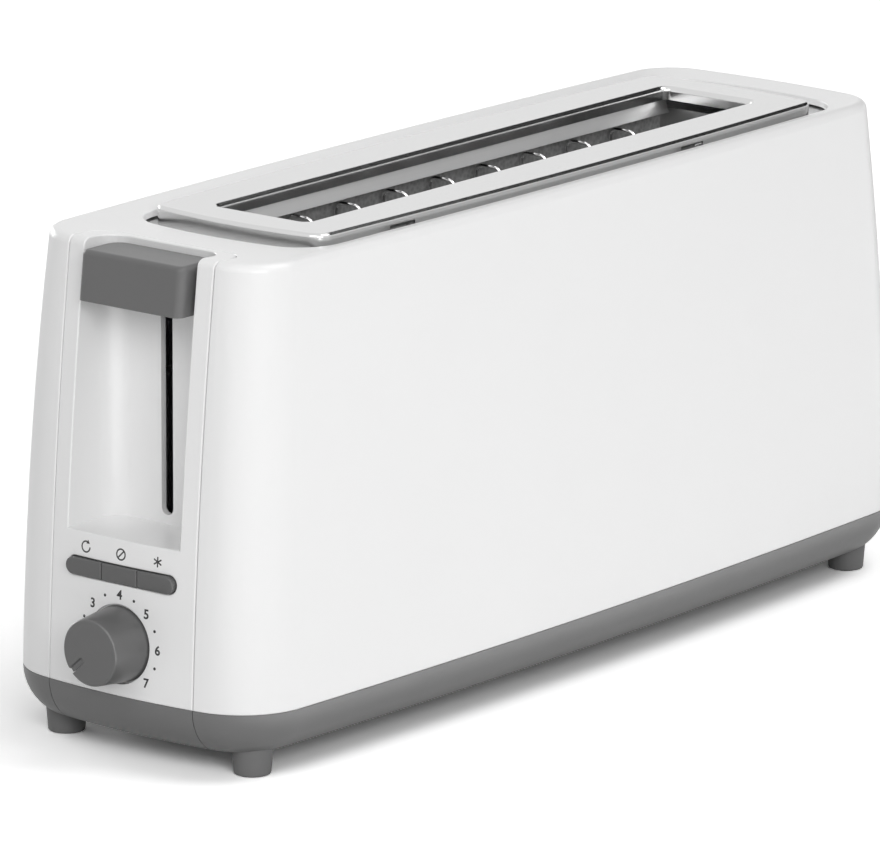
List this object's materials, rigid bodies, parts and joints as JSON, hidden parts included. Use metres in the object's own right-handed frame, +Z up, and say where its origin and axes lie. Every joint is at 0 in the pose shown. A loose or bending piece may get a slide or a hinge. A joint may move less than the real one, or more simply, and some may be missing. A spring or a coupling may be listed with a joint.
{
  "type": "long slot toaster",
  "caption": "Long slot toaster with a tapered white case, steel slot plate, lever, push buttons and browning dial on one end, and a crumb tray that pulls out at the other.",
  "frame": {"origin": "middle of the whole object's bounding box on the surface that the feet stand on", "axes": "+X along the slot, away from the lever end; +Y across the case, away from the long side that the picture shows; +Z up"},
  "size_m": [0.4132, 0.128, 0.1832],
  "materials": {
    "white_plastic": "moulded, soft gloss",
    "grey_plastic": "moulded, satin",
    "foot_rubber": "matte",
    "screw_steel": "zinc plated",
    "plate_steel": "satin, folded sheet",
    "guide_steel": "satin sheet",
    "chamber_steel": "aluminised sheet",
    "heater_board": null,
    "heater_ribbon": "oxidised resistance ribbon",
    "bright_wire": "bright plated wire",
    "zinc_steel": "zinc plated",
    "spring_steel": "oiled spring wire",
    "magnet_iron": "laminated iron",
    "coil_plastic": null,
    "handle_plastic": "moulded, satin",
    "button_plastic": "moulded, satin",
    "knob_plastic": "moulded, satin",
    "switch_plastic": "moulded",
    "board_laminate": "glass-fibre laminate with lacquer",
    "tray_steel": "aluminised sheet",
    "gland_rubber": "matte",
    "terminal_plastic": "moulded"
  },
  "bodies": {
    "toaster": {"body_shell": "white_plastic", "front_panel": "white_plastic", "base_pan": "grey_plastic", "front_skirt": "grey_plastic", "feet": "foot_rubber", "base_screws": "screw_steel", "board_screws": "screw_steel", "top_plate": "plate_steel", "slot_guide_near": "guide_steel", "slot_guide_far": "guide_steel", "chamber_front_plate": "chamber_steel", "chamber_rear_plate": "chamber_steel", "reflector_near": "chamber_steel", "reflector_far": "chamber_steel", "heater_board_near": "heater_board", "heater_board_far": "heater_board", "heater_winding_near": "heater_ribbon", "heater_winding_far": "heater_ribbon", "guard_wires_near": "bright_wire", "guard_wires_far": "bright_wire", "guide_rod": "zinc_steel", "lift_spring": "spring_steel", "magnet_core": "magnet_iron", "magnet_coil": "coil_plastic", "tact_switches": "switch_plastic", "timer_body": "switch_plastic", "circuit_board": "board_laminate", "cord_gland": "gland_rubber", "terminal_block": "terminal_plastic"},
    "carriage": {"lever_handle": "handle_plastic", "carriage_bracket": "zinc_steel", "bread_rack": "bright_wire", "rack_fingers": "bright_wire", "latch_plate": "zinc_steel"},
    "knob": {"browning_knob": "knob_plastic", "timer_shaft": "zinc_steel"},
    "reheat": {"reheat_button": "button_plastic"},
    "cancel": {"cancel_button": "button_plastic"},
    "defrost": {"defrost_button": "button_plastic"},
    "tray": {"crumb_tray": "tray_steel", "crumb_tray_front": "grey_plastic"}
  },
  "joints": [
    {"name": "lever_slide", "type": "slide", "parent": "toaster", "child": "carriage", "axis": [0, 0, -1], "range_m": [0, 0.078], "stiffness_N_per_m": 60, "springref_m": -0.035, "deforming": ["lift_spring"]},
    {"name": "browning_turn", "type": "hinge", "parent": "toaster", "child": "knob", "pos_m": [-0.19382, 0, 0.0435], "axis": [1, 0, 0], "range_deg": [0, 264]},
    {"name": "reheat_press", "type": "slide", "parent": "toaster", "child": "reheat", "axis": [1, 0, 0], "range_m": [0, 0.0015], "stiffness_N_per_m": 800, "springref_m": -0.0005},
    {"name": "cancel_press", "type": "slide", "parent": "toaster", "child": "cancel", "axis": [1, 0, 0], "range_m": [0, 0.0015], "stiffness_N_per_m": 800, "springref_m": -0.0005},
    {"name": "defrost_press", "type": "slide", "parent": "toaster", "child": "defrost", "axis": [1, 0, 0], "range_m": [0, 0.0015], "stiffness_N_per_m": 800, "springref_m": -0.0005},
    {"name": "tray_pull", "type": "slide", "parent": "toaster", "child": "tray", "axis": [1, 0, 0], "range_m": [0, 0.25]}
  ]
}
